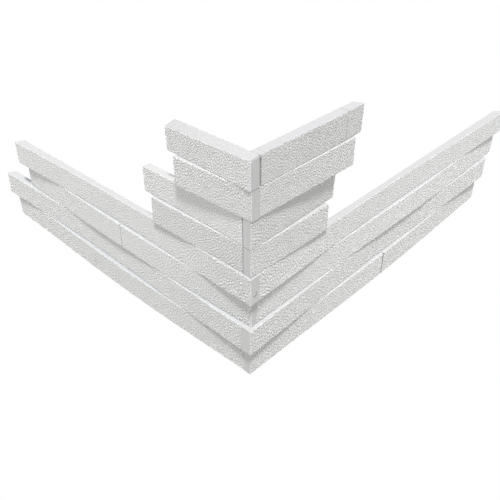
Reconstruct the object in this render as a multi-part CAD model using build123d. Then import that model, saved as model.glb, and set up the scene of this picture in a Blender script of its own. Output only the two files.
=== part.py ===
from build123d import *
import math
import os

# Outside corner of marble wall cladding: eight courses of wavy strips, interlocked at the corner.
# Plan frame: the two back planes meet at the origin, which is the arris of the wall behind.
# The right arm runs along +X and faces -Y, the left arm runs along +Y and faces -X.
# The bed of the lowest course is at Z = 0. All lengths are in millimetres.

# The strip
course_height = 37.5  # sawn height of every strip
mean_thickness = 12.5  # back plane to the middle of the wave, on average
thickness_step = 0.4  # strips differ in thickness by whole steps of this
left_swell = 3.1  # a crest of the left strips stands this far past the middle of the wave
right_swell = 2.4  # the same for the right strips
wave_length = 650.0  # crest to crest along a strip

# The arms, each measured along its mean face from the outer corner
long_left_arm = 560.0
long_right_arm = 642.0
short_left_arm = 186.0
short_right_arm = 196.0
left_offset = 51.0  # the left arm ends this much shorter where its strips run through the corner
right_offset = 42.0  # the same for the right arm
course_step = 16.0  # the lower course of each pair ends this much shorter on both arms
end_setback = 7.0  # a free end is sawn at a slant: its back stops this much short of its front

# The joints, each measured from the outer corner
bottom_left_joint = 318.0
bottom_right_joint = 283.0
third_left_joint = 244.0
top_right_joint = 164.0
hairline = 0.5  # between two strips that meet end to end
top_corner_gap = 2.6  # the open joint at the corner of the top course
shortest_strip = 20.0  # no joint leaves a strip shorter than this

# The upper bed of the top left strip sinks from its back edge to its front
corner_fall = 1.5  # at the mean face, at the corner
free_end_fall = 9.0  # at the mean face, at the free end

# Steps of thickness over or under the mean, from the lowest course up
long_left_steps = [1, 0, -5, -2]
short_left_steps = [-7, -2, -2, 3]
long_right_steps = [2, 2, -1, -2]
short_right_steps = [-2, -1, 2, -2]

# Distance from the outer corner to a crest, in wave lengths, from the lowest course up
left_crests = [0.35, 0.04, 0.31, -0.05, 0.17, -0.27, 0.23, -0.24]
right_crests = [0.47, -0.09, 0.58, -0.05, 0.23, -0.23, 0.29, 0.17]

# The face of a strip is a curve through stations this far apart
station_spacing = wave_length / 12
fewest_spans = 3

left_steps = long_left_steps + short_left_steps
right_steps = long_right_steps + short_right_steps
courses = len(left_steps)
long_courses = len(long_left_steps)
joints = {
    (1, "left"): bottom_left_joint,
    (1, "right"): bottom_right_joint,
    (3, "left"): third_left_joint,
    (courses, "right"): top_right_joint,
}


def through_side(course):
    """The right strips run through the corner in one pair of courses, the left ones in the next."""
    return "right" if ((course - 1) // 2) % 2 == 0 else "left"


def arm_length(course, side):
    """Length of one course's arm along the mean face, from the outer corner."""
    if side == "left":
        full = long_left_arm if course <= long_courses else short_left_arm
        offset = left_offset
    else:
        full = long_right_arm if course <= long_courses else short_right_arm
        offset = right_offset
    withdrawn = offset if side == through_side(course) else 0
    step = course_step if course % 2 == 1 else 0
    return full - withdrawn - step


def thickness(course, side, distance):
    """Thickness at a distance from the outer corner: the strip's own mean plus a cosine wave."""
    if side == "left":
        steps, crests, swell = left_steps, left_crests, left_swell
    else:
        steps, crests, swell = right_steps, right_crests, right_swell
    turns = distance / wave_length - crests[course - 1]
    mean = mean_thickness + thickness_step * steps[course - 1]
    return mean + swell * math.cos(2 * math.pi * turns)


def in_plan(side, along, out):
    """A plan point from its distance along the arm and its distance out from the back plane."""
    return (-out, along) if side == "left" else (along, -out)


def strip(course, side, start, end, setback=0):
    """One strip: flat back, sawn ends and a wavy face, raised by the course height."""
    spans = max(fewest_spans, math.ceil((end - start) / station_spacing))
    stations = [start + (end - start) * i / spans for i in range(spans + 1)]
    face = [in_plan(side, s, thickness(course, side, s + mean_thickness)) for s in stations]
    back = [in_plan(side, end - setback, 0), in_plan(side, start, 0)]
    outline = Curve() + [Spline(*face), Polyline(face[-1], *back, face[0])]
    bed = (course - 1) * course_height
    return Pos(0, 0, bed) * extrude(make_face(outline), amount=course_height, dir=(0, 0, 1))


def above_sunken_bed(start, end):
    """What the top left strip loses: all above a bed that twists down from the corner to the free end."""
    top = courses * course_height
    sections = []
    for distance, fall in ((start - 1, corner_fall), (end + 1, free_end_fall)):
        profile = [
            (-mean_thickness, top + fall),
            (2 * mean_thickness, top - 2 * fall),
            (2 * mean_thickness, top + course_height),
            (-mean_thickness, top + course_height),
        ]
        sections.append(make_face(Polyline(*[(-out, distance, z) for out, z in profile], close=True)))
    return loft(sections, ruled=True)


def arm_strips(course, side):
    """The strips of one arm by name, from the corner to the free end."""
    if side == through_side(course):
        # The sawn end lies flush with the face of the other arm
        other_side = "right" if side == "left" else "left"
        start = -thickness(course, other_side, 0)
    elif course == courses:
        start = top_corner_gap
    else:
        # The strip butts against the back of the one that runs through
        start = hairline
    end = arm_length(course, side) - mean_thickness
    joint = joints.get((course, side), 0) - mean_thickness
    name = f"course_{course}_{side}"
    if joint - start < shortest_strip or end - joint < shortest_strip:
        whole = strip(course, side, start, end, end_setback)
        if (course, side) == (courses, "left"):
            whole -= above_sunken_bed(start, end)
        return {name: whole}
    return {
        f"{name}_inner": strip(course, side, start, joint - hairline / 2),
        f"{name}_outer": strip(course, side, joint + hairline / 2, end, end_setback),
    }


os.makedirs("parts", exist_ok=True)
for course in range(1, courses + 1):
    for side in ("left", "right"):
        for name, solid in arm_strips(course, side).items():
            solid.label = name
            export_step(solid, f"parts/{name}.step")
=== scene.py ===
import math

import bpy
import numpy as np
from mathutils import Euler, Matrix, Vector


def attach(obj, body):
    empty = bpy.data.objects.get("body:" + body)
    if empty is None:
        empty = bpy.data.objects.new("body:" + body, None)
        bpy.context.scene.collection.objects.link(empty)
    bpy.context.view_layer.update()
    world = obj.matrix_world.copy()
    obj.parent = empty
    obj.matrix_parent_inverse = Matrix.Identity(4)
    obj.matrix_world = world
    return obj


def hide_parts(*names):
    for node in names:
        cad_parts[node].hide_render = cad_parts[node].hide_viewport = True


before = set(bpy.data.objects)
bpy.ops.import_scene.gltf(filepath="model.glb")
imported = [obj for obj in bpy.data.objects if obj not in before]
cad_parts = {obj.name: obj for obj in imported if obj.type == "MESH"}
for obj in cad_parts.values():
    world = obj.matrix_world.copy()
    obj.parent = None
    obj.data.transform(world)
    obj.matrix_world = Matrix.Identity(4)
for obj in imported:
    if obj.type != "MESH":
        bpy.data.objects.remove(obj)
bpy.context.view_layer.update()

mm = 0.001
scene = bpy.context.scene

# How the strips are cut and hammered, in millimetres
stripLook = {
    "gridStep": 0.75,  # spacing of the points on a hammered face
    "depthRows": 2,  # rows of points across a sawn bed
    "grainWave": 3.9,  # one hump of the hammered face to the next
    "grainDepth": 0.25,
    "crystalWave": 2.5,  # one crystal to the next
    "crystalDepth": 0.15,
    "pitWave": 5.0,  # the hammer's deeper pits
    "pitDepth": 0.12,
    "pitsFrom": 0.9,  # deviations of the noise at which a pit begins
    "highest": 2,  # percentile of the relief that lies on the face as cut
    "deepest": 98,  # percentile of the relief that counts as the bottom of the pits
    "leastRelief": 0.02,  # the face never comes nearer than this to the face as cut
    # painted shade along the upper arris, by course, that dims the bevel's highlight
    "topArris": {1: 0.3, 2: 0.3, 3: 0.3, 4: 1.1, 5: 0.3, 6: 1.1, 7: 0.3, 8: 1.2},
    "shortCourses": (5, 6, 7, 8),
    "shortFineness": 0.85,  # their grain against that of the long ones: finer and shallower
    # strength of the grain, in relief and in the painted pit shade, at the corner and far from it
    "grain": {
        "8_left": (0.85, 0.8), "8_right": (0.75, 0.75),
        "7_left": (0.95, 0.95), "7_right": (0.9, 0.9),
        "6_left": (0.95, 0.95), "6_right": (1.3, 1.1),
        "5_left": (1.25, 1.1), "5_right": (1.5, 1.3),
        "4_left": (1.1, 0.5), "4_right": (1.3, 0.55),
        "3_left": (1.1, 0.6), "3_right": (1.0, 0.75),
        "2_left": (1.05, 0.8), "2_right": (0.9, 0.9),
        "1_left": (0.9, 0.95), "1_right": (0.9, 0.8),
    },
    "grainReach": 150.0,  # distance over which the one fades into the other
    "arrisWave": 4.0,  # chips along the edges
    "arrisBevel": 0.34,
    "endBevel": 0.65,
    "tightBevel": 0.2,  # where a joint is tighter than cut
    "arrisChip": 0.10,
    # by course: 0 lighter, 1 darker; partly the stone's own tone, partly painted light that sets
    # one arm's faces lighter than the other's
    "leftTones": {1: 0.75, 2: 0.45, 3: 0.2, 4: 0.25, 5: 0.3, 6: -0.4, 7: 0.05, 8: -0.4},
    "rightTones": {1: 0.4, 2: 0.45, 3: 0.1, 4: 0.1, 5: 0.2, 6: 0.3, 7: 0.45, 8: 0.55},
    "toneSpread": 0.1,  # each strip differs at random by up to this
    "nearTone": 0.45,  # darker still toward the corner
    "nearReach": 220.0,
    # share of the lighter bed colour, painted light, on the upper beds, by course
    "bedLightShare": {1: 1.0, 2: 1.0, 3: 1.0, 4: 0.6, 5: 1.0, 6: 1.0, 7: 1.0, 8: 0.5},
    # faint casts of the upper beds
    "bedTints": {
        "8_left": (1.0, 0.997, 0.995),
        "8_right": (0.985, 0.985, 1.0),
        "6_left": (1.0, 0.985, 0.98),
        "4_right": (0.97, 0.97, 0.97),
        "3_left": (0.95, 0.96, 0.975),
        "2_left": (0.95, 0.965, 0.985),
        "1_left": (0.91, 0.93, 0.96),
    },
    # how far the upper bed sinks at the mean face: distances along the arm, and the falls there
    "topFall": {
        "course_8_left": ((-16.0, 123.5), (1.5, 9.0)),
        "course_6_left": ((80.0, 106.0, 175.0), (0.0, 2.8, 3.4)),
        "course_4_left": ((158.0, 500.0), (0.0, 1.6)),
    },
    "meanThickness": 12.5,
    # faces that lie deeper: depth at the upper edge, where along the strip, how far that reaches,
    # and the lower edge's depth as a share of the upper one's
    "sunkFaces": {
        "course_5_left": (1.3, 45.0, 60.0, 1.0),
        "course_4_left": (1.9, 138.0, 78.0, 0.2),
        "course_4_right": (1.0, 45.0, 90.0, 0.2),
        "course_6_right": (0.25, 155.0, 80.0, 5.0),
        "course_8_right_inner": (0.2, 150.0, 90.0, 5.0),
        "course_8_right_outer": (0.2, 5.0, 90.0, 5.0),
        "course_8_left": (0.2, 110.0, 60.0, 5.0),
    },
    "slantReach": 20.0,  # the points of a free end lean back over this length
    # ends whose back stops this much shorter still
    "moreSlant": {"course_4_right": 6.0, "course_4_left": 2.0},
    # darkening in the joints between two strips of one arm, 0 to 1, and the bevels of the ends
    # there
    "joints": {"1_left": 0.0, "1_right": 0.9, "3_left": 0.15, "8_right": 0.1},
    "jointBevels": {"1_left": 0.15, "1_right": 0.6, "3_left": 0.2, "8_right": 0.2},
    # darkening where a strip butts at the corner
    "cornerJoints": {
        "1_left": 0.1, "2_left": 0.1, "3_right": 0.1, "4_right": 0.1,
        "5_left": 1.0, "6_left": 1.0, "7_right": 0.3, "8_right": 0.5,
    },
    "jointReach": 1.5,
    # corner joints that are wider than cut, or tighter
    "jointOpenings": {"5_left": 0.4, "6_left": 0.4, "1_left": -0.4, "2_left": -0.4},
    # the open joint at the top is closed above: reach of the lip, its height, where it starts
    "lips": {"course_8_right_inner": (2.4, 4.5, 3.0)},
    "roundedEnds": {"course_8_left": 2.4},  # radius between the upper bed and the sawn end
    # radius of the knocked lower corners at the free ends
    "knockedCorners": {
        "course_8_left": 1.6,
        "course_8_right_outer": 2.0,
        "course_6_left": 2.0,
        "course_4_left": 2.6,
        "course_3_right": 8.0,
        "course_2_right": 6.5,
        "course_1_left_outer": 9.0,
        "course_1_right_outer": 8.0,
    },
    "seed": 41,
}


def bandNoise(shape, step, wave, rng):
    # white noise filtered to one wave length and scaled to deviation 1:
    # spectrum = white * exp(-((|f| - 1/wave) / (band/wave))^2)
    band, margin = 0.38, 32  # the margin is cut off, so that the edges don't repeat each other
    padded = (shape[0] + margin, shape[1] + margin)
    spectrum = np.fft.rfft2(rng.standard_normal(padded))
    fx = np.fft.fftfreq(padded[0], step)[:, None]
    fy = np.fft.rfftfreq(padded[1], step)[None, :]
    radius = np.hypot(fx, fy)
    spectrum *= np.exp(-(((radius - 1 / wave) / (band / wave)) ** 2))
    field = np.fft.irfft2(spectrum, s=padded)[: shape[0], : shape[1]]
    return field / field.std()


def lineNoise(count, step, wave, rng):
    # the same noise along a line
    return bandNoise((count, 3), step, wave, rng)[:, 1]


def readStrip(node):
    # the arm's own axes: along the arm, out from the back plane, up
    # thickness at s = the CAD face's distance from the back plane, linear between its points
    side = "left" if "_left" in node.name else "right"
    co = np.empty(len(node.data.vertices) * 3)
    node.data.vertices.foreach_get("co", co)
    co = co.reshape(-1, 3) / mm
    along, out = (co[:, 1], -co[:, 0]) if side == "left" else (co[:, 0], -co[:, 1])
    faceFrom, bedWithin, backWithin = 2.0, 1.0, 0.1  # which points count as face, bed and back
    face = (out > faceFrom) & (co[:, 2] < co[:, 2].min() + bedWithin)
    order = np.argsort(along[face])
    return {
        "side": side,
        "start": along.min(),
        "end": along.max(),
        "setback": along.max() - along[out < backWithin].max(),
        "bed": co[:, 2].min(),
        "height": np.ptp(co[:, 2]),
        "thickness": lambda s: np.interp(s, along[face][order], out[face][order]),
    }


def hammeredRelief(s, z, height, fineness, strength, bevels, look, rng):
    # depth below the CAD face = grain + crystals + pits + 45 degree bevels at the four edges
    # a bevel's depth = its width + chips - the distance to the edge, where that is positive
    shape = (len(s), len(z))
    step = look["gridStep"]
    relief = look["grainDepth"] * bandNoise(shape, step, look["grainWave"] * fineness, rng)
    relief += look["crystalDepth"] * bandNoise(shape, step, look["crystalWave"], rng)
    pits = bandNoise(shape, step, look["pitWave"], rng) - look["pitsFrom"]
    relief += look["pitDepth"] * np.maximum(0, pits)
    relief -= np.percentile(relief, look["highest"])
    cavityShade = relief.copy()
    relief *= fineness * strength[:, None]
    for toEdge in (z[None, :], height - z[None, :]):
        noise = lineNoise(len(s), step, look["arrisWave"], rng)
        chips = look["arrisBevel"] + look["arrisChip"] * np.abs(noise)
        relief += np.maximum(0, chips[:, None] - toEdge)
    for toEnd, bevel in zip((s[:, None] - s[0], s[-1] - s[:, None]), bevels):
        chips = bevel + look["arrisChip"] * np.abs(lineNoise(len(z), step, look["arrisWave"], rng))
        relief += np.maximum(0, chips[None, :] - toEnd)
    return np.maximum(relief, look["leastRelief"]), cavityShade


def knockCorner(along, up, end, bed, radius):
    # square corner to quarter disc: q' = q * max(q) / |q|, with q from the rounding's centre
    qx = (along - (end - radius)) / radius
    qz = ((bed + radius) - up) / radius
    inside = (qx > 0) & (qz > 0)
    scale = np.where(inside, np.maximum(qx, qz) / np.maximum(np.hypot(qx, qz), 1e-9), 1)
    return (
        np.where(inside, end - radius + qx * scale * radius, along),
        np.where(inside, bed + radius - qz * scale * radius, up),
    )


def gridQuads(ids, flip):
    # the quads of a grid of vertex numbers
    quads = np.stack([ids[:-1, :-1], ids[1:, :-1], ids[1:, 1:], ids[:-1, 1:]], -1).reshape(-1, 4)
    return quads[:, ::-1] if flip else quads


def endCap(edgeFront, edgeTop, edgeBottom, inner, flip):
    # a sawn end: grid from the face to the last inner column, then a fan to the two back corners
    rows = len(edgeFront)
    cap = np.zeros((rows, len(edgeTop)), int)
    cap[:, -1], cap[-1], cap[0] = edgeFront, edgeTop, edgeBottom
    cap[1:-1, 1:-1] = inner
    quads = gridQuads(cap[:, 1:], not flip)
    column, half = cap[:, 1], rows // 2
    low, high = edgeBottom[0], edgeTop[0]
    below = np.stack([np.full(half, low), column[1 : half + 1], column[:half]], -1)
    above = np.stack([np.full(rows - 1 - half, high), column[half + 1 :], column[half:-1]], -1)
    middle = np.array([[low, high, column[half]]])
    fan = np.concatenate([below, above, middle])
    return quads, (fan if flip else fan[:, ::-1])


def stripPoints(s, z, face, depth):
    # grids of (along, out, up): the face, the upper and the lower bed, the inside of both ends
    # out on the beds and the ends = the face's distance * row / depth
    share = np.arange(depth) / depth
    sGrid, zGrid = np.meshgrid(s, z, indexing="ij")
    parts = [np.stack([sGrid, face, zGrid], -1).reshape(-1, 3)]
    for row, level in ((-1, z[-1]), (0, 0.0)):
        out = face[:, row, None] * share[None, :]
        along = np.repeat(s[:, None], depth, 1)
        parts.append(np.stack([along, out, np.full_like(out, level)], -1).reshape(-1, 3))
    for column in (0, -1):
        out = face[column, 1:-1, None] * share[None, 1:]
        up = np.repeat(z[1:-1, None], depth - 1, 1)
        parts.append(np.stack([np.full_like(out, s[column]), out, up], -1).reshape(-1, 3))
    return parts


def stripFaces(parts, shape, depth):
    # quads over the grids in the order face, upper bed, lower bed, back, ends; then the ends' fans
    firsts = np.cumsum([0] + [len(part) for part in parts])
    faceIds = np.arange(firsts[1]).reshape(shape)
    bedIds = np.arange(shape[0] * depth).reshape(shape[0], depth)
    topIds = np.concatenate([firsts[1] + bedIds, faceIds[:, -1:]], 1)
    bottomIds = np.concatenate([firsts[2] + bedIds, faceIds[:, :1]], 1)
    backIds = np.stack([bottomIds[:, 0], topIds[:, 0]], 1)
    quads = [
        gridQuads(faceIds, False),
        gridQuads(topIds, True),
        gridQuads(bottomIds, False),
        gridQuads(backIds, True),
    ]
    fans = []
    insideShape = (shape[1] - 2, depth - 1)
    for column, flip, first in ((0, False, firsts[3]), (-1, True, firsts[4])):
        inner = first + np.arange(insideShape[0] * insideShape[1]).reshape(insideShape)
        edges = faceIds[column], topIds[column], bottomIds[column]
        capQuads, capFan = endCap(*edges, inner, flip)
        quads.append(capQuads)
        fans.append(capFan)
    return np.concatenate(quads), np.concatenate(fans)


def bendStrip(name, strip, look, points):
    # lip: s' = s - its reach, fading to nothing inward
    # rounded end: z' = z - (r - sqrt(r^2 - q^2)), q from the rounding's centre, fading downward
    # sunken bed: z' = z * (1 - fall(s) / height * out / mean thickness)
    # slanted end: s' = s - setback * (1 - out / thickness), fading to nothing over the reach
    height = strip["height"]
    along, out, up = points.T
    near = along - strip["start"]
    reach, lipHeight, run = look["lips"].get(name, (0, 1, 1))
    inLip = np.clip((up - height + lipHeight) / look["gridStep"], 0, 1)
    along = along - reach * inLip * np.clip(1 - near / run, 0, 1)
    radius = look["roundedEnds"].get(name, 0)
    drop = radius - np.sqrt(np.maximum(0, radius**2 - np.maximum(0, radius - near) ** 2))
    up = up - drop * np.clip(1 - (height - up) / (2 * radius + 1), 0, 1)
    if name in look["topFall"]:
        fall = np.interp(along, *look["topFall"][name])
        up = up * (1 - fall / height * out / look["meanThickness"])
    up = up + strip["bed"]
    if name in look["knockedCorners"]:
        radius = look["knockedCorners"][name]
        along, up = knockCorner(along, up, strip["end"], strip["bed"], radius)
    lean = np.clip((along - strip["end"]) / look["slantReach"] + 1, 0, 1)
    setback = strip["setback"] + look["moreSlant"].get(name, 0)
    slanted = along - setback * lean * (1 - out / strip["thickness"](along))
    axes = [-out, slanted, up] if strip["side"] == "left" else [slanted, -out, up]
    return np.stack(axes, 1), along


def makeMesh(name, places, quads, fans, hammered):
    # the first faces are hammered and smooth, the others sawn and flat
    mesh = bpy.data.meshes.new(name)
    loops = np.concatenate([quads.ravel(), fans.ravel()]).astype(np.int32)
    sizes = np.concatenate([np.full(len(quads), 4), np.full(len(fans), 3)]).astype(np.int32)
    starts = np.concatenate([[0], np.cumsum(sizes)[:-1]]).astype(np.int32)
    finish = np.ones(len(sizes), np.int32)
    finish[:hammered] = 0
    mesh.vertices.add(len(places))
    mesh.vertices.foreach_set("co", (places * mm).astype(np.float32).ravel())
    mesh.loops.add(len(loops))
    mesh.loops.foreach_set("vertex_index", loops)
    mesh.polygons.add(len(sizes))
    mesh.polygons.foreach_set("loop_start", starts)
    mesh.polygons.foreach_set("material_index", finish)
    mesh.polygons.foreach_set("use_smooth", finish == 0)
    mesh.update(calc_edges=True)
    mesh.validate()
    return mesh


def addValues(mesh, name, domain, values):
    # one number for each point or each face
    attribute = mesh.attributes.new(name, "FLOAT", domain)
    attribute.data.foreach_set("value", values.astype(np.float32))


def jointDarkening(s, nearDark, farDark, reach):
    # darkening * (1 - distance to the end / reach), where that is positive
    fromNear, fromFar = (s - s[0]) / reach, (s[-1] - s) / reach
    return nearDark * np.clip(1 - fromNear, 0, 1) + farDark * np.clip(1 - fromFar, 0, 1)


def buildStrip(node, look, rng):
    # one hammered strip in the place of a CAD solid
    name, strip = node.name, readStrip(node)
    course = int(name.split("_")[1])
    armCourse = f"{course}_{strip['side']}"
    isInner, isOuter = name.endswith("_inner"), name.endswith("_outer")
    opening = 0 if isOuter else look["jointOpenings"].get(armCourse, 0)
    strip["start"] += opening
    count = int(round((strip["end"] - strip["start"]) / look["gridStep"]))
    rows = int(round(strip["height"] / look["gridStep"]))
    s = np.linspace(strip["start"], strip["end"], count + 1)
    z = np.linspace(0, strip["height"], rows + 1)

    fineness = look["shortFineness"] if course in look["shortCourses"] else 1.0
    jointBevel = look["jointBevels"].get(armCourse, 0)
    cornerBevel = look["tightBevel"] if opening < 0 else look["endBevel"]
    bevels = (jointBevel if isOuter else cornerBevel, jointBevel if isInner else look["endBevel"])
    # strength = far + (corner - far) * exp(-(s / reach)^2)
    atCorner, farOff = look["grain"][armCourse]
    strength = farOff + (atCorner - farOff) * np.exp(-((s / look["grainReach"]) ** 2))
    relief, cavityShade = hammeredRelief(s, z, strip["height"], fineness, strength, bevels, look, rng)
    # deeper by depth * exp(-((s - middle) / reach)^2), times the lower share at the lower edge
    sunk, middle, reach, below = look["sunkFaces"].get(name, (0, 0, 1, 1))
    sunkAlong = sunk * np.exp(-(((s - s[0] - middle) / reach) ** 2))
    relief += sunkAlong[:, None] * (below + (1 - below) * z / strip["height"])[None, :]
    face = strip["thickness"](s)[:, None] - relief

    depth = look["depthRows"]
    parts = stripPoints(s, z, face, depth)
    quads, fans = stripFaces(parts, face.shape, depth)
    places, along = bendStrip(name, strip, look, np.concatenate(parts))
    if strip["side"] == "left":
        quads, fans = quads[:, ::-1], fans[:, ::-1]  # the left arm mirrors the right one
    hammered, bed = count * rows, count * depth
    mesh = makeMesh(name + "_stone", places, quads, fans, hammered)

    # painted shade: 0 on the peaks to 1 in the pits, and dark along the upper arris
    values = np.zeros(len(places))
    spread = np.percentile(cavityShade, look["deepest"])
    # painted shade along the upper arris
    cavityShade[:, -1] = np.maximum(cavityShade[:, -1], spread * look["topArris"][course])
    cavityShade = np.clip(0.5 + (cavityShade / spread - 0.5) * strength[:, None], 0, 1)
    values[: face.size] = cavityShade.ravel()
    addValues(mesh, "cavityShade", "POINT", values)

    # tone = the course's own + a random share + the near one * exp(-(s / reach)^2)
    # the course's tone on each arm is partly painted light
    tone = look[strip["side"] + "Tones"][course]
    tone = tone + rng.uniform(-look["toneSpread"], look["toneSpread"])
    tone = tone + look["nearTone"] * np.exp(-((along / look["nearReach"]) ** 2))
    addValues(mesh, "tone", "POINT", tone)

    atJoint = look["joints"].get(armCourse, 0)
    nearDark = atJoint if isOuter else look["cornerJoints"].get(armCourse, 0)
    farDark = atJoint if isInner else 0
    values[: face.size] = np.repeat(jointDarkening(s, nearDark, farDark, look["jointReach"]), rows + 1)
    addValues(mesh, "joint", "POINT", values)

    # which sawn faces are backs and ends, and how much painted light and tint the upper bed has
    faceCount = len(quads) + len(fans)
    backFirst = hammered + 2 * bed
    backs, ends = slice(backFirst, backFirst + count), slice(backFirst + count, None)
    upperBed = slice(hammered, hammered + bed)
    white = look["bedLightShare"][course]
    for kind, faces, value in (("backs", backs, 1), ("ends", ends, 1), ("ledgeLight", upperBed, white)):
        values = np.zeros(faceCount)
        values[faces] = value
        addValues(mesh, kind, "FACE", values)
    tint = np.ones((faceCount, 4), np.float32)
    tint[upperBed, :3] = look["bedTints"].get(armCourse, 1.0)
    mesh.attributes.new("tint", "FLOAT_COLOR", "FACE").data.foreach_set("color", tint.ravel())

    piece = bpy.data.objects.new(mesh.name, mesh)
    scene.collection.objects.link(piece)
    return piece


marbleLook = {
    "specular": 0.35,
    # the hammered faces
    "peak": (0.985, 0.986, 0.985),
    # painted shade: the colour in the pits of the hammered face
    "pitShade": (0.50, 0.505, 0.505),
    "crystalDark": (0.66, 0.67, 0.665),
    "darker": (0.875, 0.874, 0.868),  # what the darker tone, partly painted light, is multiplied by
    "jointDark": (0.10, 0.10, 0.10),
    "crystalsPerMetre": 400.0,
    "crystalRamp": (0.55, 1.3),  # which crystals are dark
    "crystalShare": 0.6,  # how dark they are
    "grainsPerMetre": 900.0,
    "grainDetail": 2.0,
    # painted shade in the low grains of the bump
    "hollowShadeRamp": (0.36, 0.62),
    "hollowShadeShare": 0.30,
    "hammeredRoughness": 0.70,
    "hammeredBump": {"Strength": 0.7, "Distance": 0.0006},
    # the sawn faces
    "sawn": (0.555, 0.555, 0.557),
    "sawnCloud": (0.53, 0.532, 0.538),
    # painted shade: the upper beds are a darker copy of the sawn colour, as they face the light
    # from above
    "bed": (0.41, 0.41, 0.411),
    "ledgeLight": (0.495, 0.495, 0.497),  # beds that another course covers: painted light, a lighter copy for the ledges
    "clouds": {"Scale": 22.0, "Detail": 5.0, "Distortion": 0.6},
    "cloudRamp": (0.35, 0.72),
    "streakScale": (420.0, 420.0, 14.0),  # saw marks, long in Z
    "streakDetail": 2.0,
    "streakRamp": (0.45, 0.75),
    "streakShare": 0.4,
    "sawnRoughness": 0.45,
    "sawnBump": {"Strength": 0.12, "Distance": 0.0002},
    # a crescent chip on the end of course 4, and a hairline across the top bed
    "crescent": {
        "centre": (-0.0072, -0.0142, 0.1268),
        "cutCentre": (-0.0086, -0.0142, 0.1284),
        "radius": 0.0042,
        "soft": 0.0008,
        "colour": (0.52, 0.52, 0.52),
    },
    "crack": {"at": 0.0085, "halfWidth": 0.00025, "above": 0.2996},
    # the bed joints, drawn on the sawn ends and the backs
    "seam": {"course": 0.0375, "halfWidth": 0.0004, "colour": (0.35, 0.35, 0.35)},
}


def newMaterial(name):
    # an empty principled material and its object coordinates
    material = bpy.data.materials.new(name)
    material.use_nodes = True
    tree = material.node_tree
    shader = tree.nodes["Principled BSDF"]
    coords = tree.nodes.new("ShaderNodeTexCoord")
    return material, tree, shader, coords.outputs["Object"]


def addNode(tree, kind, inputs=None, **settings):
    # inputs are sockets to link or values to set
    node = tree.nodes.new(kind)
    for key, value in settings.items():
        setattr(node, key, value)
    for key, value in (inputs or {}).items():
        if isinstance(value, bpy.types.NodeSocket):
            tree.links.new(value, node.inputs[key])
        else:
            node.inputs[key].default_value = value
    return node


def addMath(tree, operation, *values):
    # one step of arithmetic
    inputs = dict(enumerate(values))
    return addNode(tree, "ShaderNodeMath", inputs, operation=operation).outputs[0]


def readAttribute(tree, name, output="Fac"):
    # a value or colour that the mesh carries
    return addNode(tree, "ShaderNodeAttribute", attribute_name=name).outputs[output]


def mixColours(tree, factor, first, second, blend="MIX"):
    # first * (1 - factor) + second * factor, or first * second; colours are sockets or triples
    node = tree.nodes.new("ShaderNodeMix")
    node.data_type = "RGBA"
    node.blend_type = blend
    sockets = node.inputs[0], node.inputs[6], node.inputs[7]
    for socket, value in zip(sockets, (factor, first, second)):
        if isinstance(value, bpy.types.NodeSocket):
            tree.links.new(value, socket)
        elif isinstance(value, tuple):
            socket.default_value = (*value, 1)
        else:
            socket.default_value = value
    return node.outputs[2]


def ramp(tree, value, low, high):
    # 0 at low, 1 at high, smooth between
    node = addNode(tree, "ShaderNodeMapRange", {"Value": value, "From Min": low, "From Max": high})
    node.interpolation_type = "SMOOTHSTEP"
    return node.outputs[0]


def finishMarble(tree, shader, look, colour, roughness, height, bump):
    # links the colour and a bump from the height into the shader
    tree.links.new(colour, shader.inputs["Base Color"])
    shader.inputs["Roughness"].default_value = roughness
    shader.inputs["Specular IOR Level"].default_value = look["specular"]
    normal = addNode(tree, "ShaderNodeBump", {"Height": height, **bump})
    tree.links.new(normal.outputs["Normal"], shader.inputs["Normal"])


def hammeredMarble(look):
    # colour = (peak to pit: painted shade in the pits, darker in some crystals, painted shade
    # where the grains are low) * tone, partly painted light, * joint darkening
    # height = grains - distance to the crystal's middle
    material, tree, shader, place = newMaterial("marble_hammered")
    cells = {"Vector": place, "Scale": look["crystalsPerMetre"]}
    crystals = addNode(tree, "ShaderNodeTexVoronoi", cells)
    noise = {"Vector": place, "Scale": look["grainsPerMetre"], "Detail": look["grainDetail"]}
    grains = addNode(tree, "ShaderNodeTexNoise", noise).outputs["Fac"]
    # painted shade: darker toward the pits of the relief
    colour = mixColours(tree, readAttribute(tree, "cavityShade"), look["peak"], look["pitShade"])
    darkened = mixColours(tree, look["crystalShare"], colour, look["crystalDark"])
    darkCrystals = ramp(tree, crystals.outputs["Color"], *look["crystalRamp"])
    colour = mixColours(tree, darkCrystals, colour, darkened)
    # painted shade: darker where the grain noise, which also makes the bump, is low
    darkened = mixColours(tree, look["hollowShadeShare"], colour, look["crystalDark"])
    colour = mixColours(tree, ramp(tree, grains, *look["hollowShadeRamp"]), darkened, colour)
    colour = mixColours(tree, readAttribute(tree, "tone"), colour, look["darker"], "MULTIPLY")
    colour = mixColours(tree, readAttribute(tree, "joint"), colour, look["jointDark"], "MULTIPLY")
    height = addMath(tree, "SUBTRACT", grains, crystals.outputs["Distance"])
    roughness = look["hammeredRoughness"]
    finishMarble(tree, shader, look, colour, roughness, height, look["hammeredBump"])
    return material


def crescentMark(tree, place, look):
    # 1 inside the first circle and outside the second, on the sawn end of course 4 at the corner
    mark = look["crescent"]
    edge = mark["radius"], mark["radius"] - mark["soft"]
    fromFirst, fromSecond = (
        addNode(tree, "ShaderNodeVectorMath", {0: place, 1: mark[centre]}, operation="DISTANCE")
        for centre in ("centre", "cutCentre")
    )
    inside = ramp(tree, fromFirst.outputs["Value"], edge[0], edge[1])
    cut = ramp(tree, fromSecond.outputs["Value"], edge[1], edge[0])
    return addMath(tree, "MULTIPLY", inside, cut)


def crackLine(tree, place, look):
    # 1 within half a width of the plane X = at, on the bed above the level
    crack = look["crack"]
    parts = addNode(tree, "ShaderNodeSeparateXYZ", {0: place})
    near = addMath(tree, "COMPARE", parts.outputs["X"], crack["at"], crack["halfWidth"])
    high = addMath(tree, "GREATER_THAN", parts.outputs["Z"], crack["above"])
    return addMath(tree, "MULTIPLY", near, high)


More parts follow.
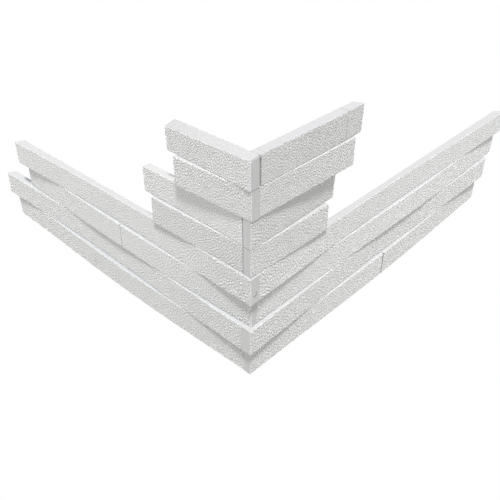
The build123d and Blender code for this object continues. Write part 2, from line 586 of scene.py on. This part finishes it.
def seamLine(tree, place, look):
    # 1 where |Z - a joint's height| < half a width
    # the joints are inside each pair on the sawn ends, and between all courses on the backs
    seam = look["seam"]
    height = addNode(tree, "ShaderNodeSeparateXYZ", {0: place}).outputs["Z"]
    lines = []
    for period, kind in ((2 * seam["course"], "ends"), (seam["course"], "backs")):
        shifted = addMath(tree, "SUBTRACT", height, seam["course"])
        toJoint = addMath(tree, "PINGPONG", shifted, period / 2)
        near = addMath(tree, "LESS_THAN", toJoint, seam["halfWidth"])
        lines.append(addMath(tree, "MULTIPLY", near, readAttribute(tree, kind)))
    return addMath(tree, "MAXIMUM", *lines)


def sawnMarble(look):
    # colour = (bed in painted shade, or clouded stone on ends and backs, streaked, and covered
    # beds in painted light) * tint * marks
    material, tree, shader, place = newMaterial("marble_sawn")
    clouds = addNode(tree, "ShaderNodeTexNoise", {"Vector": place, **look["clouds"]})
    stretched = addNode(tree, "ShaderNodeMapping", {"Vector": place, "Scale": look["streakScale"]})
    noise = {"Vector": stretched.outputs[0], "Scale": 1.0, "Detail": look["streakDetail"]}
    streaks = addNode(tree, "ShaderNodeTexNoise", noise).outputs["Fac"]
    upright = addMath(tree, "MAXIMUM", readAttribute(tree, "ends"), readAttribute(tree, "backs"))
    cloudy = ramp(tree, clouds.outputs["Fac"], *look["cloudRamp"])
    colour = mixColours(tree, cloudy, look["sawn"], look["sawnCloud"])
    # painted shade: the beds take a darker colour than the ends and backs
    colour = mixColours(tree, upright, look["bed"], colour)
    darkened = mixColours(tree, look["streakShare"], colour, look["crystalDark"])
    colour = mixColours(tree, ramp(tree, streaks, *look["streakRamp"]), colour, darkened)
    # painted light: covered beds take a lighter colour
    colour = mixColours(tree, readAttribute(tree, "ledgeLight"), colour, look["ledgeLight"])
    colour = mixColours(tree, 1.0, colour, readAttribute(tree, "tint", "Color"), "MULTIPLY")
    marks = (
        (crescentMark(tree, place, look), look["crescent"]["colour"]),
        (crackLine(tree, place, look), look["crystalDark"]),
        (seamLine(tree, place, look), look["seam"]["colour"]),
    )
    for mark, dark in marks:
        colour = mixColours(tree, mark, colour, dark, "MULTIPLY")
    finishMarble(tree, shader, look, colour, look["sawnRoughness"], streaks, look["sawnBump"])
    return material


hammered = hammeredMarble(marbleLook)
sawn = sawnMarble(marbleLook)
print("marble: two finishes made")

rng = np.random.default_rng(stripLook["seed"])
for name in sorted(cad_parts):
    piece = buildStrip(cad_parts[name], stripLook, rng)
    piece.data.materials.append(hammered)
    piece.data.materials.append(sawn)
    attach(piece, "root")
    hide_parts(name)
print("strips:", len(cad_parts), "cut and hammered")

# The camera stands where the perspective of the edges puts it
cameraView = {
    "place": (-0.4175, -0.3914, 0.5897),
    "yaw": 43.18,  # degrees from +X toward +Y
    "pitch": 31.265,  # degrees below the horizon
    "lens": 45.75,
    "sensor": 36,
    "shiftY": -0.10,
}
cameraData = bpy.data.cameras.new("camera")
cameraData.lens = cameraView["lens"]
cameraData.sensor_width = cameraView["sensor"]
cameraData.shift_y = cameraView["shiftY"]
camera = bpy.data.objects.new("camera", cameraData)
camera.location = cameraView["place"]
tilt, turn = math.radians(90 - cameraView["pitch"]), math.radians(cameraView["yaw"] - 90)
camera.rotation_euler = Euler((tilt, 0, turn))
scene.collection.objects.link(camera)
scene.camera = camera

studio = {
    "ambient": 0.225,  # the world's light; the camera sees it white
    "sunStrength": 4.2,
    "sunAngle": 9.0,  # degrees across, for soft shadows
    "sunHeight": 72.0,  # degrees above the floor
    "sunSide": 49.0,  # degrees from straight before the left arm
    "fillStrength": 0.36,
    "fillAngle": 100.0,
    "fillHeight": 25.0,
    "fillSide": 5.0,
    "backStrength": 0.5,  # from behind and above, for the beds that lie in shadow
    "backAngle": 60.0,
    "backHeight": 50.0,
    "backSide": 225.0,
    "floorReach": 6.0,
    "floorColour": (0.585, 0.59, 0.57),  # what the floor throws back on the stone
    "floorRoughness": 0.9,
    "floorWhite": 0.97,  # share of plain white in the floor, seen by the camera
}
world = bpy.data.worlds.new("studio")
scene.world = world
world.use_nodes = True
background = world.node_tree.nodes["Background"]
background.inputs["Color"].default_value = (1, 1, 1, 1)
tree = world.node_tree
path = addNode(tree, "ShaderNodeLightPath").outputs
seen = addMath(tree, "MAXIMUM", path["Is Camera Ray"], path["Is Glossy Ray"])
seen = addMath(tree, "MAXIMUM", seen, path["Is Transmission Ray"])
levels = {"Value": seen, "To Min": studio["ambient"], "To Max": 1.0}
strength = addNode(tree, "ShaderNodeMapRange", levels)
tree.links.new(strength.outputs[0], background.inputs["Strength"])


def addSun(name):
    # direction to the sun = (-cos side * cos height, -sin side * cos height, sin height)
    data = bpy.data.lights.new(name, "SUN")
    data.energy = studio[name + "Strength"]
    data.angle = math.radians(studio[name + "Angle"])
    sun = bpy.data.objects.new(name, data)
    height, side = math.radians(studio[name + "Height"]), math.radians(studio[name + "Side"])
    level = math.cos(height)
    toSun = Vector((-math.cos(side) * level, -math.sin(side) * level, math.sin(height)))
    sun.rotation_euler = toSun.to_track_quat("Z", "Y").to_euler()
    scene.collection.objects.link(sun)


for name in ("sun", "fill", "back"):
    addSun(name)

reach = studio["floorReach"]
corners = [(-reach, -reach, 0), (reach, -reach, 0), (reach, reach, 0), (-reach, reach, 0)]
floorMesh = bpy.data.meshes.new("floor")
floorMesh.from_pydata(corners, [], [(0, 1, 2, 3)])
floor = bpy.data.objects.new("floor", floorMesh)
scene.collection.objects.link(floor)
floorMaterial, tree, shader, place = newMaterial("floor")
shader.inputs["Base Color"].default_value = (*studio["floorColour"], 1)
shader.inputs["Roughness"].default_value = studio["floorRoughness"]
white = addNode(tree, "ShaderNodeEmission", {"Strength": 1.0})
path = addNode(tree, "ShaderNodeLightPath").outputs
seen = addMath(tree, "MAXIMUM", path["Is Camera Ray"], path["Is Glossy Ray"])
seen = addMath(tree, "MULTIPLY", seen, studio["floorWhite"])
mix = addNode(tree, "ShaderNodeMixShader", {0: seen, 1: shader.outputs[0], 2: white.outputs[0]})
tree.links.new(mix.outputs[0], tree.nodes["Material Output"].inputs["Surface"])
floor.data.materials.append(floorMaterial)

scene.view_settings.view_transform = "Standard"
print("studio: camera, sun and floor placed")
